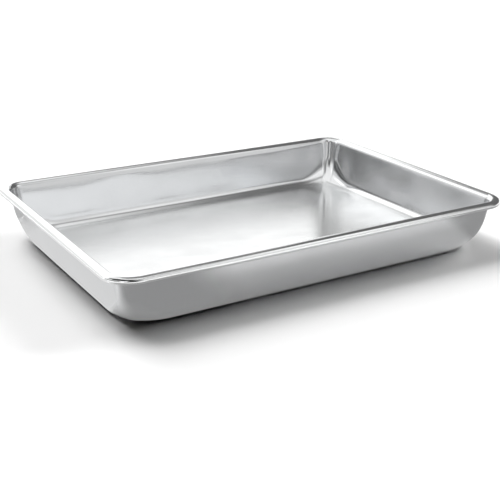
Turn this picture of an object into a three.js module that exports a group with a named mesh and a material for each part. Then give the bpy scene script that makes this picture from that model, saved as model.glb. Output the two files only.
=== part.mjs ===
// Deep baking tray: one pressed aluminium sheet with a rolled rim, and the steel wire inside the roll.
// Millimetres, +Z up, X along the long sides. The origin is on the table, under the middle of the floor.

import * as THREE from 'three';

// Driving dimensions
const RIM_LENGTH = 360; // over the rim, along X
const RIM_WIDTH = 250; // over the rim, along Y
const TRAY_HEIGHT = 44; // table to the top of the rim
const SHEET = 1; // thickness of the aluminium
const WALL_TAPER = 9.8; // degrees that the walls lean out
const RIM_CORNER_RADIUS = 23; // in plan, to the rim's outer edge
const FLOOR_CORNER_RADIUS = 28.5; // in plan, of the flat floor
const BASE_BEND_RADIUS = 8; // inside, between the floor and the straight walls
const SCOOP_CLIMB = 0.7; // share of their further reach by which the corner scoops climb further up the wall
const SHOULDER_RADIUS = 4.8; // on the upper face, where the wall turns out into the flange
const FLANGE_WIDTH = 1.6; // straight stretch between the shoulder and the roll
const FLANGE_SLOPE = 12; // degrees that the flange falls outwards
const WIRE_DIAMETER = 2.3;
const WIRE_CLEARANCE = 0.3; // between the wire and the sheet rolled round it
const CURL_TURN = 268; // degrees that the sheet turns round the wire
const WIRE_JOINT_GAP = 2; // between the wire's two ends

// Steps that stand for the round stretches
const CORNER_STEPS = 8;
const RUNOUT_STEPS = 5;
const BASE_BEND_STEPS = 8;
const SHOULDER_STEPS = 5;
const CURL_STEPS = 12;
const WIRE_SIDES = 10;

const QUARTER_TURN = Math.PI / 2;
const taper = THREE.MathUtils.degToRad(WALL_TAPER);
const slope = THREE.MathUtils.degToRad(FLANGE_SLOPE);

// The rolled rim's section. Insets are measured inwards from the rim's outer edge, heights from the table. The
// shoulder is the rim's highest part, and the flange leaves it and meets the curl at tangents.
const curlInside = WIRE_DIAMETER / 2 + WIRE_CLEARANCE;
const curlOutside = curlInside + SHEET;
const flangeFacing = QUARTER_TURN + slope;
const curlEnd = flangeFacing + THREE.MathUtils.degToRad(CURL_TURN);
const shoulderHeight = TRAY_HEIGHT - SHOULDER_RADIUS;
const radiusStep = SHOULDER_RADIUS - curlOutside;
const wireInset = curlOutside;
const wireHeight = shoulderHeight + radiusStep * Math.cos(slope) - FLANGE_WIDTH * Math.sin(slope);
const shoulderInset = wireInset + radiusStep * Math.sin(slope) + FLANGE_WIDTH * Math.cos(slope);

// The wall's section: its inner face leaves the shoulder at a tangent.
const wallTopInset = shoulderInset + SHOULDER_RADIUS * Math.cos(taper);
const wallTopHeight = shoulderHeight + SHOULDER_RADIUS * Math.sin(taper);
const innerWallInset = (height) => wallTopInset + (wallTopHeight - height) * Math.tan(taper);
const outerWallInset = (height) => innerWallInset(height) - SHEET / Math.cos(taper);

// The flat floor ends where the base bend begins. In the corners it is cut back further, because its corner radius
// is larger than the walls', so the bend grows from its small radius on the sides to a wide scoop in the corners.
const baseBendReach = BASE_BEND_RADIUS * Math.tan((QUARTER_TURN - taper) / 2);
const floorInset = innerWallInset(SHEET) + baseBendReach;
const cornerRunout = floorInset + FLOOR_CORNER_RADIUS - RIM_CORNER_RADIUS;

// A place on the rim's outer edge, with the direction that faces out of the tray there, and the centre of the
// floor corner that its base bend runs towards.
function station(edge, outward, floorCorner) {
  return { edge, outward, floorCorner };
}

// Stations round one corner, anticlockwise: the run-out on the side before it, its arc, and the run-out after it.
function cornerStations(startAngle) {
  const before = new THREE.Vector3(Math.cos(startAngle), Math.sin(startAngle), 0);
  const after = new THREE.Vector3(-before.y, before.x, 0);
  const toCorner = before.clone().add(after);
  const cornerPoint = (inset) =>
    toCorner.clone().multiply(new THREE.Vector3(RIM_LENGTH / 2 - inset, RIM_WIDTH / 2 - inset, 0));
  const arcCentre = cornerPoint(RIM_CORNER_RADIUS);
  const floorCorner = cornerPoint(floorInset + FLOOR_CORNER_RADIUS);
  const onArc = (outward) => arcCentre.clone().addScaledVector(outward, RIM_CORNER_RADIUS);
  const stations = [];
  for (let step = RUNOUT_STEPS; step > 0; step -= 1) {
    const back = -(cornerRunout * step) / RUNOUT_STEPS;
    stations.push(station(onArc(before).addScaledVector(after, back), before, floorCorner));
  }
  for (let step = 0; step <= CORNER_STEPS; step += 1) {
    const angle = startAngle + (QUARTER_TURN * step) / CORNER_STEPS;
    const outward = new THREE.Vector3(Math.cos(angle), Math.sin(angle), 0);
    stations.push(station(onArc(outward), outward, floorCorner));
  }
  for (let step = 1; step <= RUNOUT_STEPS; step += 1) {
    const back = -(cornerRunout * step) / RUNOUT_STEPS;
    stations.push(station(onArc(after).addScaledVector(before, back), after, floorCorner));
  }
  return stations;
}

// All stations, from the back left corner round to the back right one.
function rimStations() {
  return [1, 2, 3, 4].flatMap((quarter) => cornerStations(quarter * QUARTER_TURN));
}

function place({ edge, outward }, inset, height) {
  return edge.clone().addScaledVector(outward, -inset).setZ(height);
}

// Points of a round stretch in the section at a station. Angle 0 points into the tray and 90 degrees points up.
function sectionArc(at, inset, height, radius, startAngle, endAngle, steps) {
  return Array.from({ length: steps + 1 }, (_, step) => {
    const angle = THREE.MathUtils.lerp(startAngle, endAngle, step / steps);
    return place(at, inset + radius * Math.cos(angle), height + radius * Math.sin(angle));
  });
}

// The point of the flat floor's outline that a station's base bend runs down to.
function floorEdge(at, height) {
  const wallFoot = place(at, innerWallInset(SHEET), 0);
  const fromCorner = wallFoot.sub(at.floorCorner).normalize();
  return at.floorCorner.clone().addScaledVector(fromCorner, FLOOR_CORNER_RADIUS).setZ(height);
}

// One face of the base bend, from the wall down to the floor: an arc that touches both. On the sides it is round, and
// climbs as far up the wall as it reaches along the floor from the foot, where the two would meet. In the corners it is
// part of an ellipse, which climbs further. Either is the weighted mean of its ends and the foot, as a conic is.
function baseBend(at, footInset, floorHeight) {
  const foot = place(at, footInset, floorHeight);
  const toFloor = floorEdge(at, floorHeight).sub(foot);
  const reach = toFloor.length();
  const climb = reach + SCOOP_CLIMB * (reach - (floorInset - footInset));
  const upWall = at.outward.clone().multiplyScalar(Math.sin(taper)).setZ(Math.cos(taper));
  const footPull = 2 * Math.sin(upWall.angleTo(toFloor) / 2);
  return Array.from({ length: BASE_BEND_STEPS + 1 }, (_, step) => {
    const down = step / BASE_BEND_STEPS;
    const wallPull = (1 - down) ** 2;
    const floorPull = down ** 2;
    const allPulls = wallPull + footPull * down * (1 - down) + floorPull;
    return foot
      .clone()
      .addScaledVector(upWall, (climb * wallPull) / allPulls)
      .addScaledVector(toFloor, floorPull / allPulls);
  });
}

// The sheet's section at a station, from the floor's upper edge up the inside, over the rim, round the curl and back
// down the outside to the floor's lower edge.
function sheetSection(at) {
  const shoulder = (radius, start, end) =>
    sectionArc(at, shoulderInset, shoulderHeight, radius, start, end, SHOULDER_STEPS);
  const curl = (radius, start, end) => sectionArc(at, wireInset, wireHeight, radius, start, end, CURL_STEPS);
  return [
    ...baseBend(at, innerWallInset(SHEET), SHEET).reverse(),
    ...shoulder(SHOULDER_RADIUS, taper, flangeFacing),
    ...curl(curlOutside, flangeFacing, curlEnd),
    ...curl(curlInside, curlEnd, flangeFacing),
    ...shoulder(SHOULDER_RADIUS - SHEET, flangeFacing, taper),
    ...baseBend(at, outerWallInset(0), 0),
  ];
}

// The wire's section at a station, once round.
function wireSection(at) {
  const circle = sectionArc(at, wireInset, wireHeight, WIRE_DIAMETER / 2, 0, 2 * Math.PI, WIRE_SIDES);
  return circle.slice(0, WIRE_SIDES);
}

// Triangles between neighbouring sections. A looped skin joins the last section to the first, and wrapped sections
// join their last point to their first.
function skin(sections, { looped, wrapped }) {
  const size = sections[0].length;
  const bands = looped ? sections.length : sections.length - 1;
  const steps = wrapped ? size : size - 1;
  const triangles = [];
  for (let band = 0; band < bands; band += 1) {
    const here = band * size;
    const next = ((band + 1) % sections.length) * size;
    for (let step = 0; step < steps; step += 1) {
      const ahead = (step + 1) % size;
      triangles.push(here + step, here + ahead, next + step);
      triangles.push(next + step, here + ahead, next + ahead);
    }
  }
  return triangles;
}

// Triangles across a flat outline, given as vertex numbers that run anticlockwise seen from the side they face.
function cap(vertexNumbers, outline) {
  return THREE.ShapeUtils.triangulateShape(outline, []).flat().map((corner) => vertexNumbers[corner]);
}

function geometryOf(sections, triangles) {
  const geometry = new THREE.BufferGeometry().setFromPoints(sections.flat());
  geometry.setIndex(triangles);
  geometry.computeVertexNormals();
  return geometry;
}

// The pan: sections skinned all round, with the floor's upper and lower faces closing the middle.
function panGeometry() {
  const sections = rimStations().map(sheetSection);
  const size = sections[0].length;
  const upper = sections.map((_, index) => index * size);
  const lower = upper.map((first) => first + size - 1);
  const outline = sections.map((section) => new THREE.Vector2(section[0].x, section[0].y));
  return geometryOf(sections, [
    ...skin(sections, { looped: true, wrapped: false }),
    ...cap(upper, outline),
    ...cap(lower, outline).reverse(),
  ]);
}

// The wire: one length bent to the rim's shape, its ends butted half-way along the back.
function wireGeometry() {
  const outward = new THREE.Vector3(0, 1, 0);
  const backMiddle = (x) => station(new THREE.Vector3(x, RIM_WIDTH / 2, 0), outward, null);
  const first = backMiddle(-WIRE_JOINT_GAP / 2);
  const last = backMiddle(WIRE_JOINT_GAP / 2);
  const sections = [first, ...rimStations(), last].map(wireSection);
  const around = Array.from({ length: WIRE_SIDES }, (_, side) => side);
  const lastRing = around.map((side) => side + (sections.length - 1) * WIRE_SIDES);
  const outline = around.map((side) => {
    const angle = (2 * Math.PI * side) / WIRE_SIDES;
    return new THREE.Vector2(Math.cos(angle), Math.sin(angle));
  });
  return geometryOf(sections, [
    ...skin(sections, { looped: false, wrapped: true }),
    ...cap(around, outline).reverse(),
    ...cap(lastRing, outline),
  ]);
}

function piece(name, geometry, material) {
  const mesh = new THREE.Mesh(geometry, material);
  mesh.name = name;
  return mesh;
}

const aluminium = new THREE.MeshStandardMaterial({ color: 0xc8cacb, roughness: 0.35, metalness: 1 });
const galvanisedSteel = new THREE.MeshStandardMaterial({ color: 0x8b9094, roughness: 0.5, metalness: 1 });

const tray = new THREE.Group();
tray.add(piece('pan', panGeometry(), aluminium));
tray.add(piece('rim_wire', wireGeometry(), galvanisedSteel));

export default tray;
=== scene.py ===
"""Looks of the deep baking tray: fine pressed sheet and rim wire, their finishes and a pale studio stage.

Metres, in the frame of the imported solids: +Z up, X along the long sides, origin under the floor's middle.
"""

import math
from typing import NamedTuple

import bpy
import numpy as np
from mathutils import Matrix, Vector


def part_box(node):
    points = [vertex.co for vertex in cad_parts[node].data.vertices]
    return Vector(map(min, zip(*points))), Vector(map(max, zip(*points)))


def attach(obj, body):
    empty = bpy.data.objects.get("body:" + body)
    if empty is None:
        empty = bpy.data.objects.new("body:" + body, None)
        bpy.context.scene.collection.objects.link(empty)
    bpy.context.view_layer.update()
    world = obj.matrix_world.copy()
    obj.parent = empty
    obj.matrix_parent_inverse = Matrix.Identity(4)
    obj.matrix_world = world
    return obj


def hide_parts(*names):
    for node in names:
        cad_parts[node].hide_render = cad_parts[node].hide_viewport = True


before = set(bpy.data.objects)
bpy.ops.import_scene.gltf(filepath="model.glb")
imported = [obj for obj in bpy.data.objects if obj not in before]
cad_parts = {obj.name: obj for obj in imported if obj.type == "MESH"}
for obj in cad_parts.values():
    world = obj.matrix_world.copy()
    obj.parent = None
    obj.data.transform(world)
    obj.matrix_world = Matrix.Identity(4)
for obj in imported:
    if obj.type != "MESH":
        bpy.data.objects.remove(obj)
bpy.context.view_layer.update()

MM = 0.001
QUARTER_TURN = math.pi / 2

# Overall sizes, as the solid has them
pan_low, pan_high = (np.array(corner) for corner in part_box("pan"))
RIM_LENGTH, RIM_WIDTH, TRAY_HEIGHT = pan_high - pan_low

# The sheet and its bends
SHEET = 1.0 * MM
WALL_TAPER = math.radians(9.8)
RIM_CORNER_RADIUS = 23.0 * MM
FLOOR_CORNER_RADIUS = 28.5 * MM
BASE_BEND_RADIUS = 8.0 * MM
SCOOP_CLIMB = 0.7
SHOULDER_RADIUS = 4.8 * MM
FLANGE_WIDTH = 1.6 * MM
FLANGE_SLOPE = math.radians(12)
WIRE_DIAMETER = 2.3 * MM
WIRE_CLEARANCE = 0.3 * MM
CURL_TURN = math.radians(268)
WIRE_JOINT_GAP = 2.0 * MM

# The rolled rim's section: insets inwards from the rim's outer edge, heights from the table
curl_inside = WIRE_DIAMETER / 2 + WIRE_CLEARANCE
curl_outside = curl_inside + SHEET
flange_facing = QUARTER_TURN + FLANGE_SLOPE
curl_end = flange_facing + CURL_TURN
shoulder_height = TRAY_HEIGHT - SHOULDER_RADIUS
wire_inset = curl_outside
flange_run = FLANGE_WIDTH * math.cos(FLANGE_SLOPE)
flange_fall = FLANGE_WIDTH * math.sin(FLANGE_SLOPE)
radius_change = SHOULDER_RADIUS - curl_outside
shoulder_inset = wire_inset + flange_run + radius_change * math.sin(FLANGE_SLOPE)
wire_height = shoulder_height + radius_change * math.cos(FLANGE_SLOPE) - flange_fall
wall_top_inset = shoulder_inset + SHOULDER_RADIUS * math.cos(WALL_TAPER)
wall_top_height = shoulder_height + SHOULDER_RADIUS * math.sin(WALL_TAPER)
inner_foot_inset = wall_top_inset + (wall_top_height - SHEET) * math.tan(WALL_TAPER)
outer_foot_inset = inner_foot_inset + SHEET * math.tan(WALL_TAPER) - SHEET / math.cos(WALL_TAPER)
base_bend_reach = BASE_BEND_RADIUS * math.tan((QUARTER_TURN - WALL_TAPER) / 2)
floor_inset = inner_foot_inset + base_bend_reach
floor_depth = floor_inset + FLOOR_CORNER_RADIUS
corner_runout = floor_depth - RIM_CORNER_RADIUS

# Fineness of the drawn surface
STATION_SPACING = 4.0 * MM
CORNER_STEPS = 32
RUNOUT_STEPS = 12
BEND_STEPS = 18
WALL_STEPS = 12
SHOULDER_STEPS = 12
CURL_STEPS = 36
FLOOR_RINGS = 18
WIRE_SIDES = 20
SHARP_EDGE = math.radians(45)

# Ripples that pressing leaves in the walls, deeper in the short ones, and faintly in the floor: heights and
# lengths of the waves, shifts in radians, and the power by which the floor's ripple dies away at its outline
LONG_WALL_RIPPLE = 0.10 * MM
SHORT_WALL_RIPPLE = 0.28 * MM
SHORT_WALL_BOW = 0.6 * MM
RIPPLE_LENGTHS = (67 * MM, 109 * MM, 153 * MM)
RIPPLE_SHIFT = 1.9
FLOOR_RIPPLE = 0.03 * MM
FLOOR_RIPPLE_LENGTH = 105 * MM
FLOOR_RIPPLE_SHIFT = 1.0
FLOOR_RIPPLE_FADE = 4

# How far the mill lines are turned from the tray's length
MILL_LINES_ASKEW = math.radians(-32)

# The range that nearly all values of the noise lie in
NOISE_SPREAD = {"From Min": 0.3, "From Max": 0.7}

# The photograph's viewpoint
VIEW_TARGET = Vector((-10.65, -20.21, 0)) * MM
VIEW_DISTANCE = 782.9 * MM
VIEW_AZIMUTH = math.radians(-32.10)
VIEW_ELEVATION = math.radians(21.16)
VIEW_ROLL = math.radians(0.99)
SENSOR_WIDTH = 36.0
LENS = 67.5

# The stage: where the floor lies, how far it reaches, the share of its own white that it shows in the metal,
# and the points along each side of a card's grid
FLOOR_DROP = -0.2 * MM
FLOOR_REACH = 8.0
FLOOR_WHITE_IN_METAL = 0.2
CARD_STEPS = 25


class Stations(NamedTuple):
    """Places round the rim's outer edge, anticlockwise from the middle of the right side."""

    edge: np.ndarray  # points of the edge, in plan
    outward: np.ndarray  # directions that face out of the tray there
    floor_centre: np.ndarray  # points that the base bend runs towards, in plan
    along: np.ndarray  # distance along the side from its middle
    side: np.ndarray  # number of the side, 0 on the right and then anticlockwise
    calm: np.ndarray  # 1 on the straight of a side, falling to 0 in the corners


def half_side(length):
    """Distances from a side's middle towards its corner: even steps on the straight, then those of the
    run-out, where the base bend grows."""
    straight = length - corner_runout
    count = round(straight / STATION_SPACING)
    return np.concatenate((
        np.linspace(0, straight, count, endpoint=False),
        np.linspace(straight, length, RUNOUT_STEPS, endpoint=False),
    ))


def side_stations(outward, forward, distances, length, floor_corner, side):
    """Stations on a side at distances from its middle, counted along forward. Where the side is straight,
    the floor centre is straight in from the edge, and on the run-out it is the floor corner's."""
    half = np.array((RIM_LENGTH, RIM_WIDTH)) / 2
    edge = outward * (half @ np.abs(outward)) + np.outer(distances, forward)
    to_corner = length - np.abs(distances)
    straight_in = edge - outward * floor_depth
    calm = np.clip(to_corner / corner_runout, 0, 1)
    return Stations(
        edge,
        np.broadcast_to(outward, edge.shape),
        np.where((to_corner > corner_runout)[:, None], straight_in, floor_corner),
        distances,
        np.full(len(edge), side),
        calm * calm * (3 - 2 * calm),
    )


def rim_stations():
    """All stations: each quarter is half a side, a quarter circle of the rim's corner radius and half the
    next side."""
    half = np.array((RIM_LENGTH, RIM_WIDTH)) / 2
    angles = np.linspace(0, QUARTER_TURN, CORNER_STEPS, endpoint=False)
    stretches = []
    for quarter in range(4):
        before = np.round((math.cos(quarter * QUARTER_TURN), math.sin(quarter * QUARTER_TURN)))
        after = np.array((-before[1], before[0]))
        corner = before + after
        floor_corner = corner * (half - floor_depth)
        first_length = half @ np.abs(after) - RIM_CORNER_RADIUS
        second_length = half @ np.abs(before) - RIM_CORNER_RADIUS
        facing = np.outer(np.cos(angles), before) + np.outer(np.sin(angles), after)
        returning = np.append(-second_length, -half_side(second_length)[:0:-1])
        stretches += [
            side_stations(before, after, half_side(first_length), first_length, floor_corner, quarter),
            Stations(
                corner * (half - RIM_CORNER_RADIUS) + RIM_CORNER_RADIUS * facing,
                facing,
                np.broadcast_to(floor_corner, facing.shape),
                np.full(CORNER_STEPS, first_length),
                np.full(CORNER_STEPS, quarter),
                np.zeros(CORNER_STEPS),
            ),
            side_stations(after, -before, returning, second_length, floor_corner, (quarter + 1) % 4),
        ]
    return Stations(*(np.concatenate(parts) for parts in zip(*stretches)))


def place(stations, insets, heights):
    """Points at insets and heights in the section at every station: edge minus outward times inset, at the
    height."""
    plan = stations.edge[:, None] - stations.outward[:, None] * np.asarray(insets)[None, :, None]
    rise = np.broadcast_to(np.asarray(heights)[None, :, None], plan.shape[:2] + (1,))
    return np.concatenate((plan, rise), axis=2)


def section_arc(stations, inset, height, radius, start, end, steps):
    """A round stretch of the section: angle 0 points into the tray and a quarter turn points up."""
    angles = np.linspace(start, end, steps + 1)
    return place(stations, inset + radius * np.cos(angles), height + radius * np.sin(angles))


def unit(vectors):
    """Vectors divided by their lengths."""
    return vectors / np.linalg.norm(vectors, axis=-1, keepdims=True)


def with_height(plan, height):
    """Points in plan, all raised to one height."""
    return np.column_stack((plan, np.full(len(plan), height)))


def base_bend(stations, foot_inset, floor_height):
    """One face of the base bend at every station, from the floor up to the wall: an arc that touches both.

    It leaves the floor where the line from the wall's inner foot to the floor centre meets the floor's
    outline. On the straights it is round and climbs as far up the wall as it reaches along the floor. In the
    corners it is a part of an ellipse, which climbs further by a share of what the reach has grown. Either
    is the weighted mean of its two ends and the foot, with the weights of a conic.
    """
    foot = place(stations, [foot_inset], [floor_height])[:, 0]
    inner_foot = place(stations, [inner_foot_inset], [0])[:, 0, :2]
    outline = stations.floor_centre + FLOOR_CORNER_RADIUS * unit(inner_foot - stations.floor_centre)
    to_floor = with_height(outline, floor_height) - foot
    reach = np.linalg.norm(to_floor, axis=1, keepdims=True)
    climb = reach + SCOOP_CLIMB * (reach - (floor_inset - foot_inset))
    up_wall = with_height(stations.outward * math.sin(WALL_TAPER), math.cos(WALL_TAPER))
    opening = np.arccos(np.sum(up_wall * to_floor / reach, axis=1, keepdims=True))
    shares = np.linspace(0, 1, BEND_STEPS + 1)[None, :, None]
    floor_weight = (1 - shares) ** 2
    foot_weight = 2 * shares * (1 - shares) * np.sin(opening / 2)[:, :, None]
    wall_weight = shares ** 2
    pull = floor_weight * to_floor[:, None] + wall_weight * (climb * up_wall)[:, None]
    return foot[:, None] + pull / (floor_weight + foot_weight + wall_weight)


def rippled_wall(stations, foot, top):
    """The wall between its foot and its top, without those two edges: straight lines, pushed out of true by
    long sine waves along each side times a half sine over the height. Each side's waves are shifted against
    the last one's, and the stiff corners stay true."""
    shares = np.linspace(0, 1, WALL_STEPS + 1)[None, 1:-1, None]
    wall = foot[:, None] * (1 - shares) + top[:, None] * shares
    waves = np.mean([
        np.sin(2 * math.pi * stations.along / length + RIPPLE_SHIFT * stations.side * (order + 1))
        for order, length in enumerate(RIPPLE_LENGTHS)], axis=0)
    is_short = stations.side % 2 == 0
    push = np.where(is_short, SHORT_WALL_BOW + SHORT_WALL_RIPPLE * waves, LONG_WALL_RIPPLE * waves)
    depth = push * stations.calm
    square_to_wall = with_height(stations.outward * math.cos(WALL_TAPER), -math.sin(WALL_TAPER))
    return wall + (depth[:, None] * square_to_wall)[:, None] * np.sin(math.pi * shares)


def floor_rings(outline):
    """The flat floor between its middle and its outline: copies of the outline, smaller towards the middle.
    Each point is raised a little, by one plus the product of two sine waves, and the lift dies away at the
    outline."""
    shares = np.linspace(0, 1, FLOOR_RINGS + 1)[None, 1:-1, None]
    rings = np.repeat(outline[:, None], FLOOR_RINGS - 1, axis=1)
    rings[:, :, :2] *= shares
    wave = 2 * math.pi / FLOOR_RIPPLE_LENGTH
    lift = 1 + np.sin(rings[:, :, 0] * wave) * np.sin(rings[:, :, 1] * wave + FLOOR_RIPPLE_SHIFT)
    rings[:, :, 2] += FLOOR_RIPPLE / 2 * lift * (1 - shares[:, :, 0] ** FLOOR_RIPPLE_FADE)
    return rings


def sheet_face(stations, foot_inset, floor_height, shoulder_radius, curl_radius):
    """One face of the sheet, from the floor up the wall, over the shoulder and round the curl, as a grid of
    stations by points of the section. With it come three grids: where each point lay in the flat sheet
    before pressing, its distance round the rim and up the section, and its zone, 0 on the floor, 1 on the
    wall and 2 on the rim."""
    bend = base_bend(stations, foot_inset, floor_height)
    shoulder = section_arc(
        stations, shoulder_inset, shoulder_height, shoulder_radius,
        WALL_TAPER, flange_facing, SHOULDER_STEPS)
    curl = section_arc(stations, wire_inset, wire_height, curl_radius, flange_facing, curl_end, CURL_STEPS)
    floor = floor_rings(bend[:, 0])
    wall = rippled_wall(stations, bend[:, -1], shoulder[:, 0])
    risen = np.concatenate((bend, wall, shoulder, curl), axis=1)

    steps = np.linalg.norm(np.diff(risen, axis=1), axis=2)
    rise = np.concatenate((np.zeros((len(risen), 1)), np.cumsum(steps, axis=1)), axis=1)
    laid_out = bend[:, :1, :2] + stations.outward[:, None] * rise[:, :, None]
    in_sheet = np.concatenate((floor[:, :, :2], laid_out), axis=1)

    edge_steps = np.linalg.norm(np.diff(stations.edge, axis=0), axis=1)
    round_rim = np.concatenate(([0], np.cumsum(edge_steps)))
    up_section = np.concatenate((np.zeros(floor.shape[:2]), rise), axis=1)
    on_wall = np.stack(np.broadcast_arrays(round_rim[:, None], up_section), axis=2)

    zone = np.concatenate((
        np.zeros(floor.shape[1]),
        np.linspace(0, 1, BEND_STEPS + 1),
        np.ones(WALL_STEPS - 1),
        np.linspace(1, 2, SHOULDER_STEPS + 1),
        np.full(CURL_STEPS + 1, 2),
    ))
    return np.concatenate((floor, risen), axis=1), in_sheet, on_wall, np.tile(zone, (len(risen), 1))


def new_piece(name, points, faces):
    """A smooth mesh object at the origin, its place in its points."""
    mesh = bpy.data.meshes.new(name)
    mesh.from_pydata(points.tolist(), [], faces)
    mesh.shade_smooth()
    piece = bpy.data.objects.new(name, mesh)
    bpy.context.scene.collection.objects.link(piece)
    return piece


def grid_faces(rows, columns, looped_rows, looped_columns):
    """Four-cornered faces between neighbouring points of a grid that is stored row by row."""
    row = np.arange(rows if looped_rows else rows - 1)[:, None]
    column = np.arange(columns if looped_columns else columns - 1)[None, :]
    next_row = (row + 1) % rows
    next_column = (column + 1) % columns
    corners = (
        row * columns + column,
        row * columns + next_column,
        next_row * columns + next_column,
        next_row * columns + column,
    )
    return np.stack(corners, axis=-1).reshape(-1, 4)


def fan_faces(hub, ring):
    """Triangles from a hub to each stretch of a closed ring."""
    return np.column_stack((np.full(len(ring), hub), ring, np.roll(ring, -1)))


def add_uv(piece, name, corner_values):
    """A UV map from one pair of values for each face corner, in the order of the faces."""
    layer = piece.data.uv_layers.new(name=name)
    layer.data.foreach_set("uv", corner_values.astype(np.float32).ravel())


def pressed_pan():
    """The whole skin of the sheet: its upper face, and its lower face from the curl back to the middle, as
    one grid looped round the tray, with both middles closed by fans."""
    stations = rim_stations()
    upper = sheet_face(stations, inner_foot_inset, SHEET, SHOULDER_RADIUS, curl_outside)
    lower = sheet_face(stations, outer_foot_inset, 0, SHOULDER_RADIUS - SHEET, curl_inside)
    grid, in_sheet, on_wall, zone = (
        np.concatenate((above, below[:, ::-1]), axis=1) for above, below in zip(upper, lower))
    count, size = grid.shape[:2]
    rings = [np.arange(count) * size, np.arange(count) * size + size - 1]
    hubs = [count * size, count * size + 1]
    quads = grid_faces(count, size, True, False)[:, ::-1]
    fans = np.concatenate((fan_faces(hubs[0], rings[0]), fan_faces(hubs[1], rings[1])[:, ::-1]))
    hub_points = [(0, 0, SHEET + FLOOR_RIPPLE / 2), (0, 0, FLOOR_RIPPLE / 2)]
    points = np.concatenate((grid.reshape(-1, 3), hub_points))
    pan = new_piece("pressed_pan", points, [*quads.tolist(), *fans.tolist()])
    pan.data.set_sharp_from_angle(angle=SHARP_EDGE)

    middles = np.zeros((2, 2))
    corners = np.concatenate((quads.ravel(), fans.ravel()))
    add_uv(pan, "sheet", np.concatenate((in_sheet.reshape(-1, 2), middles))[corners])
    # The quads that close the loop end a whole turn further round the rim, not back at its start.
    last_step = np.linalg.norm(stations.edge[0] - stations.edge[-1])
    once_round = on_wall[:1] + (on_wall[-1:, :1] + last_step) * (1, 0)
    unwrapped = np.concatenate((on_wall, once_round)).reshape(-1, 2)
    open_quads = grid_faces(count + 1, size, False, False)[:, ::-1]
    add_uv(pan, "wall", np.concatenate((unwrapped[open_quads.ravel()], np.zeros((fans.size, 2)))))
    zones = pan.data.attributes.new("zone", "FLOAT", "POINT")
    zones.data.foreach_set("value", np.append(zone.ravel(), (0, 0)).astype(np.float32))
    return pan


def rim_wire():
    """The wire in the roll: a circle carried round the rim, open at the joint half-way along the back, with
    its two cut ends closed by fans."""
    stations = rim_stations()
    back = np.argmin(np.linalg.norm(stations.edge - (0, RIM_WIDTH / 2), axis=1))
    once_round = np.append(np.arange(back, back + len(stations.edge)) % len(stations.edge), back)
    route = Stations(*(part[once_round] for part in stations))
    route.edge[[0, -1], 0] = (-WIRE_JOINT_GAP / 2, WIRE_JOINT_GAP / 2)
    closed_circle = section_arc(
        route, wire_inset, wire_height, WIRE_DIAMETER / 2, 0, 2 * math.pi, WIRE_SIDES)
    circle = closed_circle[:, :-1]
    count = len(circle)
    first_end = np.arange(WIRE_SIDES)
    last_end = first_end + (count - 1) * WIRE_SIDES
    points = np.concatenate((circle.reshape(-1, 3), circle[[0, -1]].mean(axis=1)))
    sides = grid_faces(count, WIRE_SIDES, False, True)[:, ::-1]
    ends = np.concatenate((
        fan_faces(count * WIRE_SIDES, first_end),
        fan_faces(count * WIRE_SIDES + 1, last_end)[:, ::-1],
    ))
    wire = new_piece("rim_wire_rod", points, [*sides.tolist(), *ends.tolist()])
    wire.data.set_sharp_from_angle(angle=SHARP_EDGE)
    lengths = np.concatenate(([0], np.cumsum(np.linalg.norm(np.diff(route.edge, axis=0), axis=1))))
    open_sides = grid_faces(count, WIRE_SIDES + 1, False, False)[:, ::-1]
    turn = np.linspace(0, math.pi * WIRE_DIAMETER, WIRE_SIDES + 1)
    along_and_round = np.stack(np.meshgrid(lengths, turn, indexing="ij"), axis=-1).reshape(-1, 2)
    add_uv(wire, "rod", np.concatenate((along_and_round[open_sides.ravel()], np.zeros((ends.size, 2)))))
    return wire


def srgb(hex_colour):
    """An sRGB hex value as linear red, green, blue and alpha."""
    channels = [int(hex_colour[start:start + 2], 16) / 255 for start in (1, 3, 5)]
    linear = [c / 12.92 if c <= 0.04045 else ((c + 0.055) / 1.055) ** 2.4 for c in channels]
    return (*linear, 1)


def add_node(tree, kind, settings=None, links=None):
    """A node of a kind: settings are its properties and unlinked sockets, links its sockets that are fed."""
    node = tree.nodes.new(kind)
    for name, value in (settings or {}).items():
        if isinstance(name, str) and hasattr(node, name):
            setattr(node, name, value)
        else:
            node.inputs[name].default_value = value
    for name, source in (links or {}).items():
        tree.links.new(source, node.inputs[name])
    return node


def new_material(name):
    """A material with an empty node tree, and that tree."""
    material = bpy.data.materials.new(name)
    material.use_nodes = True
    material.node_tree.nodes.clear()
    return material, material.node_tree


def lines(tree, uv, length, width, askew=0):
    """Noise drawn out into lines of a length along U and a width along V, in metres, then turned askew."""
    stretched = add_node(tree, "ShaderNodeMapping", {
        "vector_type": "TEXTURE", "Scale": (length, width, 1), "Rotation": (0, 0, askew)}, {"Vector": uv})
    noise = add_node(tree, "ShaderNodeTexNoise", {"noise_dimensions": "2D", "Scale": 1.0, "Detail": 3.0}, {
        "Vector": stretched.outputs["Vector"]})
    return noise.outputs["Fac"]


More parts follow.
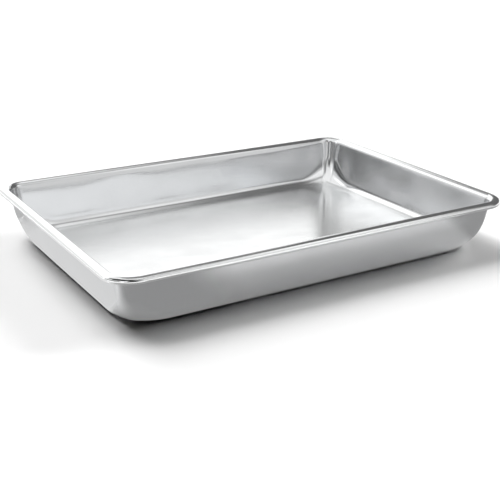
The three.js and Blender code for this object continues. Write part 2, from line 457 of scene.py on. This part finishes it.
def mill_finish_aluminium():
    """Bare aluminium sheet, as rolled, then pressed. Floor and rim keep the bright mill finish, with faint
    lines that run askew in the blank. The walls were drawn through the die, which greys them and leaves
    upright scores. The floor and rim's paler colour is also partly a painted highlight, which brightens what
    they mirror. Handling leaves soft smudges on all."""
    material, tree = new_material("mill_finish_aluminium")
    sheet = add_node(tree, "ShaderNodeUVMap", {"uv_map": "sheet"}).outputs["UV"]
    wall = add_node(tree, "ShaderNodeUVMap", {"uv_map": "wall"}).outputs["UV"]
    zone = add_node(tree, "ShaderNodeAttribute", {"attribute_name": "zone"}).outputs["Fac"]
    past_wall = add_node(tree, "ShaderNodeMath", {"operation": "SUBTRACT", 1: 1.0}, {0: zone})
    off_wall = add_node(tree, "ShaderNodeMath", {"operation": "ABSOLUTE"}, {0: past_wall.outputs["Value"]})
    bright = off_wall.outputs["Value"]
    # Mill lines are some 0.05 mm apart and die scores 0.1 mm, drawn wider here so that they show.
    mill_lines = lines(tree, sheet, 70 * MM, 0.6 * MM, MILL_LINES_ASKEW)
    die_scores = lines(tree, wall, 0.9 * MM, 26 * MM)
    smudges = lines(tree, sheet, 38 * MM, 22 * MM)
    grain = add_node(tree, "ShaderNodeMix", {"data_type": "FLOAT"}, {
        0: bright, 2: die_scores, 3: mill_lines})
    # Paler on the floor and rim than on the walls: partly the drawn walls' own dullness, partly a painted
    # highlight that brightens what the floor and rim mirror.
    finish = add_node(tree, "ShaderNodeMix", {
        "data_type": "RGBA", 6: srgb("#e3e4e5"), 7: srgb("#f7f8f8")}, {0: bright})
    worn = add_node(tree, "ShaderNodeMapRange", {
        **NOISE_SPREAD, "To Min": 0.985, "To Max": 1.0}, {"Value": grain.outputs[0]})
    colour = add_node(tree, "ShaderNodeVectorMath", {"operation": "SCALE"}, {
        0: finish.outputs[2], "Scale": worn.outputs["Result"]})
    dullness = add_node(tree, "ShaderNodeMapRange", {"To Min": 0.17, "To Max": 0.13}, {"Value": zone})
    handled = add_node(tree, "ShaderNodeMapRange", {
        **NOISE_SPREAD, "To Min": -0.02, "To Max": 0.02}, {"Value": smudges})
    roughness = add_node(tree, "ShaderNodeMath", {"operation": "ADD"}, {
        0: dullness.outputs["Result"], 1: handled.outputs["Result"]})
    tangent = add_node(tree, "ShaderNodeTangent", {"direction_type": "UV_MAP", "uv_map": "sheet"})
    # Reflections smear across the mill lines on the floor, and along the sheet's length on walls and rim.
    smear = add_node(tree, "ShaderNodeMapRange", {
        "To Min": 0.25 + MILL_LINES_ASKEW / (2 * math.pi), "To Max": 0.0}, {"Value": zone})
    relief = add_node(tree, "ShaderNodeBump", {"Strength": 0.4, "Distance": 0.002 * MM}, {
        "Height": grain.outputs[0]})
    shader = add_node(tree, "ShaderNodeBsdfPrincipled", {"Metallic": 1.0, "Anisotropic": 1.0}, {
        "Base Color": colour.outputs["Vector"], "Roughness": roughness.outputs["Value"],
        "Anisotropic Rotation": smear.outputs["Result"],
        "Normal": relief.outputs["Normal"], "Tangent": tangent.outputs["Tangent"]})
    add_node(tree, "ShaderNodeOutputMaterial", links={"Surface": shader.outputs["BSDF"]})
    return material


def galvanised_steel():
    """Hot-dipped steel wire: dull grey zinc in small pale and dark crystals, scored lengthwise."""
    material, tree = new_material("galvanised_steel")
    rod = add_node(tree, "ShaderNodeUVMap", {"uv_map": "rod"}).outputs["UV"]
    crystal = 2.5 * MM
    scaled = add_node(tree, "ShaderNodeMapping", {"Scale": (1 / crystal, 1 / crystal, 1)}, {"Vector": rod})
    crystals = add_node(tree, "ShaderNodeTexVoronoi", {"voronoi_dimensions": "2D", "Scale": 1.0}, {
        "Vector": scaled.outputs["Vector"]})
    pale = add_node(tree, "ShaderNodeSeparateColor", links={"Color": crystals.outputs["Color"]})
    colour = add_node(tree, "ShaderNodeMix", {
        "data_type": "RGBA", 6: srgb("#9da1a4"), 7: srgb("#c3c6c8")}, {0: pale.outputs["Red"]})
    scores = lines(tree, rod, 30 * MM, 0.3 * MM)
    roughness = add_node(tree, "ShaderNodeMapRange", {
        **NOISE_SPREAD, "To Min": 0.38, "To Max": 0.52}, {"Value": scores})
    shader = add_node(tree, "ShaderNodeBsdfPrincipled", {"Metallic": 1.0}, {
        "Base Color": colour.outputs[2], "Roughness": roughness.outputs["Result"]})
    add_node(tree, "ShaderNodeOutputMaterial", links={"Surface": shader.outputs["BSDF"]})
    return material


def shown_in_metal(tree):
    """1 on rays from the camera by way of the metal alone, and 0 on rays that left the matte floor, which
    the lamps light."""
    path = add_node(tree, "ShaderNodeLightPath")
    mirrored = add_node(tree, "ShaderNodeMath", {"operation": "MAXIMUM"}, {
        0: path.outputs["Is Glossy Ray"], 1: path.outputs["Is Transmission Ray"]})
    fresh = add_node(tree, "ShaderNodeMath", {"operation": "LESS_THAN", 1: 0.5}, {
        0: path.outputs["Diffuse Depth"]})
    both = add_node(tree, "ShaderNodeMath", {"operation": "MULTIPLY"}, {
        0: mirrored.outputs["Value"], 1: fresh.outputs["Value"]})
    return both.outputs["Value"]


def matte_floor():
    """Matte white board. In the metal it shows part of its own white, less dimmed by the tray's shadow."""
    material, tree = new_material("matte_white_board")
    share = add_node(tree, "ShaderNodeMath", {"operation": "MULTIPLY", 1: FLOOR_WHITE_IN_METAL}, {
        0: shown_in_metal(tree)})
    board = add_node(tree, "ShaderNodeBsdfPrincipled", {
        "Base Color": srgb("#fbfbfb"), "Roughness": 1.0, "Specular IOR Level": 0.0})
    white = add_node(tree, "ShaderNodeEmission", {"Strength": 1.0})
    both = add_node(tree, "ShaderNodeMixShader", None, {
        0: share.outputs["Value"], 1: board.outputs["BSDF"], 2: white.outputs["Emission"]})
    add_node(tree, "ShaderNodeOutputMaterial", links={"Surface": both.outputs["Shader"]})
    return material


def add_floor():
    """A square board under the tray."""
    corners = np.array([(-1, -1), (1, -1), (1, 1), (-1, 1)]) * FLOOR_REACH
    floor = new_piece("floor", with_height(corners, FLOOR_DROP), [(0, 1, 2, 3)])
    floor.data.materials.append(matte_floor())


def grey_card(name, level, fades):
    """A grey card whose edges fade out, by a smooth step from its border inwards over shares of its half
    width and half height."""
    material, tree = new_material(name)
    coordinates = add_node(tree, "ShaderNodeUVMap", {"uv_map": "card"})
    parts = add_node(tree, "ShaderNodeSeparateXYZ", links={"Vector": coordinates.outputs["UV"]})
    inside = []
    for axis, fade in zip(("X", "Y"), fades):
        from_middle = add_node(tree, "ShaderNodeMath", {"operation": "ABSOLUTE"}, {0: parts.outputs[axis]})
        inside.append(add_node(tree, "ShaderNodeMapRange", {
            "interpolation_type": "SMOOTHSTEP", "From Min": 1.0, "From Max": 1.0 - fade}, {
            "Value": from_middle.outputs["Value"]}).outputs["Result"])
    cover = add_node(tree, "ShaderNodeMath", {"operation": "MULTIPLY"}, {0: inside[0], 1: inside[1]})
    clear = add_node(tree, "ShaderNodeBsdfTransparent")
    shown = add_node(tree, "ShaderNodeMath", {"operation": "MULTIPLY", 1: level}, {0: shown_in_metal(tree)})
    grey = add_node(tree, "ShaderNodeEmission", links={"Strength": shown.outputs["Value"]})
    both = add_node(tree, "ShaderNodeMixShader", None, {
        0: cover.outputs["Value"], 1: clear.outputs["BSDF"], 2: grey.outputs["Emission"]})
    add_node(tree, "ShaderNodeOutputMaterial", links={"Surface": both.outputs["Shader"]})
    return material


def sky_direction(azimuth, elevation):
    """Unit directions at angles in radians, with azimuth 0 behind the tray and growing to its right."""
    level = np.cos(elevation)
    return np.stack((np.sin(azimuth) * level, np.cos(azimuth) * level, np.sin(elevation)), axis=-1)


def between(ends, shares):
    """Values from one end to the other, for shares from -1 to 1."""
    return np.mean(ends) + shares * np.ptp(ends) / 2


def card_grid():
    """The two shares of a card's half width and half height, from -1 to 1, on a square grid."""
    spread = np.linspace(-1, 1, CARD_STEPS)
    return np.meshgrid(spread, spread, indexing="ij")


def show_card(name, points, level, fades):
    """A card of a grid's points that only the metal shows."""
    faces = grid_faces(CARD_STEPS, CARD_STEPS, False, False)
    card = new_piece(name, points.reshape(-1, 3), faces.tolist())
    add_uv(card, "card", np.stack(card_grid(), axis=-1).reshape(-1, 2)[faces.ravel()])
    card.data.materials.append(grey_card(name, level, fades))
    card.visible_camera = False
    card.visible_diffuse = False
    card.visible_transmission = False
    card.visible_shadow = False


def add_card(name, level, distance, azimuths, elevations, fades):
    """A card that is part of a ball round the tray, between two azimuths and two elevations in degrees.
    Azimuth 0 is behind the tray and 90 on its right. Level 1 is white."""
    across, up = card_grid()
    outward = sky_direction(np.radians(between(azimuths, across)), np.radians(between(elevations, up)))
    show_card(name, distance * outward, level, fades)


def add_floor_card(name, level, along_x, along_y, fades):
    """A card that lies on the floor, between two ends along X and two along Y."""
    across, up = card_grid()
    x = between(along_x, across)
    y = between(along_y, up)
    show_card(name, np.stack((x, y, np.full(x.shape, FLOOR_DROP / 2)), axis=-1), level, fades)


def add_world():
    """White all round for the camera and in the metal. The matte floor is lit by the lamps alone."""
    world = bpy.data.worlds.new("studio")
    bpy.context.scene.world = world
    world.use_nodes = True
    tree = world.node_tree
    tree.nodes.clear()
    path = add_node(tree, "ShaderNodeLightPath")
    shown = add_node(tree, "ShaderNodeMath", {"operation": "MAXIMUM"}, {
        0: path.outputs["Is Camera Ray"], 1: shown_in_metal(tree)})
    white = add_node(tree, "ShaderNodeBackground", {"Color": (1, 1, 1, 1)}, {
        "Strength": shown.outputs["Value"]})
    add_node(tree, "ShaderNodeOutputWorld", links={"Surface": white.outputs["Background"]})


def add_lamp(name, energy, width, azimuth, elevation):
    """A soft lamp far off, so many degrees wide in the sky, for the floor's light and shadow. The metal
    mirrors the world and the cards, not the lamps."""
    light = bpy.data.lights.new(name, "SUN")
    light.energy = energy
    light.angle = math.radians(width)
    lamp = bpy.data.objects.new(name, light)
    towards = Vector(sky_direction(math.radians(azimuth), math.radians(elevation)))
    lamp.rotation_mode = "QUATERNION"
    lamp.rotation_quaternion = (-towards).to_track_quat("-Z", "Y")
    lamp.visible_glossy = False
    bpy.context.scene.collection.objects.link(lamp)


def add_camera():
    """The camera at the photograph's viewpoint, with its slight roll."""
    data = bpy.data.cameras.new("camera")
    data.sensor_width = SENSOR_WIDTH
    data.lens = LENS
    camera = bpy.data.objects.new("camera", data)
    bpy.context.scene.collection.objects.link(camera)
    level = math.cos(VIEW_ELEVATION)
    back = Vector((
        math.sin(VIEW_AZIMUTH) * level,
        -math.cos(VIEW_AZIMUTH) * level,
        math.sin(VIEW_ELEVATION),
    ))
    right = Vector((0, 0, 1)).cross(back).normalized()
    up = back.cross(right)
    turned_right = right * math.cos(VIEW_ROLL) + up * math.sin(VIEW_ROLL)
    turned_up = up * math.cos(VIEW_ROLL) - right * math.sin(VIEW_ROLL)
    matrix = Matrix((turned_right, turned_up, back)).transposed().to_4x4()
    matrix.translation = VIEW_TARGET + back * VIEW_DISTANCE
    camera.matrix_world = matrix
    bpy.context.scene.camera = camera


add_camera()
add_floor()
add_world()

# Cards behind the tray. A card has a level, a distance, two azimuths, two elevations and its fades.
add_card("lit_backdrop", 1.34, 2.0, (-80, 38.5), (-2, 46), (0.01, 0.06))
add_card("grey_low_backdrop", 0.84, 1.96, (-62, -6), (-2, 32), (0.1, 0.5))
add_card("white_card_left", 1.6, 1.9, (-50, -16), (24, 54), (0.25, 0.2))
add_card("dark_above_backdrop", 0.18, 1.88, (8, 64), (41, 66), (0.25, 0.12))
add_card("grey_behind", 0.75, 1.86, (38.4, 50), (3, 40), (0.02, 0.1))
add_card("dark_gap_behind", 0.42, 1.84, (38.4, 40.8), (3, 40), (0.15, 0.1))

# Cards overhead and on its right. The ceiling is clear, because its fade across is 0, yet renders differ a
# little without it.
add_card("grey_ceiling", 0.5, 1.76, (-180, 180), (64, 90), (0.0, 0.2))
add_card("grey_above_right", 0.5, 1.7, (60, 172), (47, 72), (0.1, 0.2))
add_card("dark_side_right", 0.13, 1.0, (47, 128), (3, 66), (0.08, 0.3))
add_card("pale_card_right", 0.8, 1.5, (139, 171), (-3, 60), (0.05, 0.1))
add_card("grey_card_low_right", 0.42, 1.45, (112, 137), (-3, 24), (0.2, 0.2))
add_card("white_card_right", 1.08, 0.45, (108, 168), (33, 64), (0.5, 0.2))

# Cards in front and round the camera
add_card("dark_behind_camera", 0.28, 1.3, (168, 214), (18, 66), (0.15, 0.15))
add_card("grey_card_front", 0.6, 1.84, (171, 213), (-3, 20), (0.05, 0.1))
add_card("pale_card_front", 1.08, 1.82, (196, 213), (-3, 12.5), (0.1, 0.1))
add_card("grey_card_low_front", 0.34, 1.4, (176, 268), (-3, 7.5), (0.1, 0.25))
add_card("pale_card_by_camera", 1.05, 1.8, (224, 240), (-3, 13), (0.15, 0.15))
add_card("dark_card_by_camera", 0.2, 1.78, (212, 226), (-3, 14.6), (0.1, 0.06))
add_card("dark_card_near_camera", 0.06, 0.4, (204, 225), (8, 29), (0.1, 0.1))
add_card("white_card_by_camera", 1.7, 1.82, (225, 242), (12, 25), (0.1, 0.1))

# Cards on its left and over its near corner
add_card("grey_card_left_low", 0.3, 1.3, (237, 288), (-3, 22), (0.1, 0.1))
add_card("grey_flag_left", 0.23, 0.6, (226, 260), (21.5, 42), (0.1, 0.15))
add_card("black_flag_near_corner", 0.03, 0.36, (216, 264), (25, 53), (0.1, 0.08))

# Cards on the floor, close to each side; three are painted shadow and light of the floor in the metal.
# Their ends are along X and then along Y.
# Painted shadow of the floor in front of the tray, as the metal mirrors it
add_floor_card("painted_shadow_on_floor_front", 0.34, (-0.27, -0.05), (-0.24, -0.08), (0.5, 0.6))
# Painted light on the floor at the tray's left, lifting its shadow as the metal mirrors it
add_floor_card("painted_light_on_floor_left", 0.8, (-0.36, -0.15), (-0.085, 0.14), (0.05, 0.1))
# Painted shadow of the floor past the tray's near right end, as the metal mirrors it
add_floor_card("painted_shadow_on_floor_at_end", 0.36, (0.155, 0.36), (-0.34, -0.08), (0.15, 0.1))
add_floor_card("grey_card_at_back", 0.55, (-0.22, 0.22), (0.095, 0.26), (0.1, 0.3))
add_floor_card("grey_card_at_right", 0.5, (0.15, 0.31), (-0.104, 0.15), (0.3, 0.1))

# Lamps, by energy, width, azimuth and elevation
add_lamp("high_lamp", 1.74, 26, -32, 58)
add_lamp("back_lamp", 1.26, 26, 0, 42)
add_lamp("low_back_lamp", 2.0, 26, 0, 15)
add_lamp("right_lamp", 2.25, 30, 90, 30)
bpy.context.scene.view_settings.view_transform = "Standard"

pan = pressed_pan()
pan.data.materials.append(mill_finish_aluminium())
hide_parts("pan")
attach(pan, "root")

wire = rim_wire()
wire.data.materials.append(galvanised_steel())
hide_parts("rim_wire")
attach(wire, "root")
